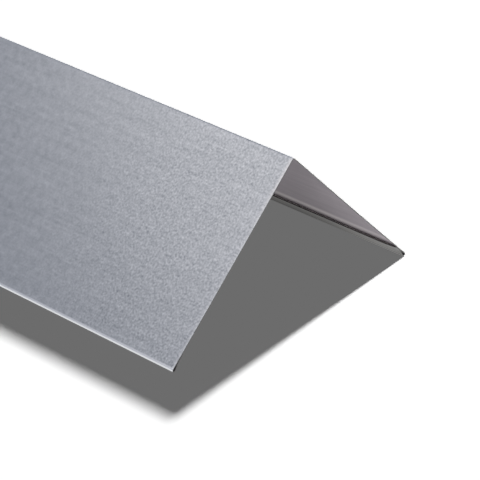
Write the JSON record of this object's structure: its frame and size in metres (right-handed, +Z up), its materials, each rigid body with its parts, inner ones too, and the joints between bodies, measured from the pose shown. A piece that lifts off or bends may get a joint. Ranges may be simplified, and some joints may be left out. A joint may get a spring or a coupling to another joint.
{
  "type": "verge flashing",
  "caption": "Long right-angled sheet steel flashing with equal flanges and open hems folded inwards along both long edges.",
  "frame": {"origin": "on the floor under the ridge, halfway along the length", "axes": "+X along the length, +Z up through the ridge, +Y across from the left flange to the right flange"},
  "size_m": [2, 0.1618, 0.0819],
  "materials": {
    "zinc_coated_sheet": "satin zinc coating with a fine grain, plain cut edges at the ends"
  },
  "bodies": {
    "root": {"flashing_sheet": "zinc_coated_sheet"}
  },
  "joints": []
}
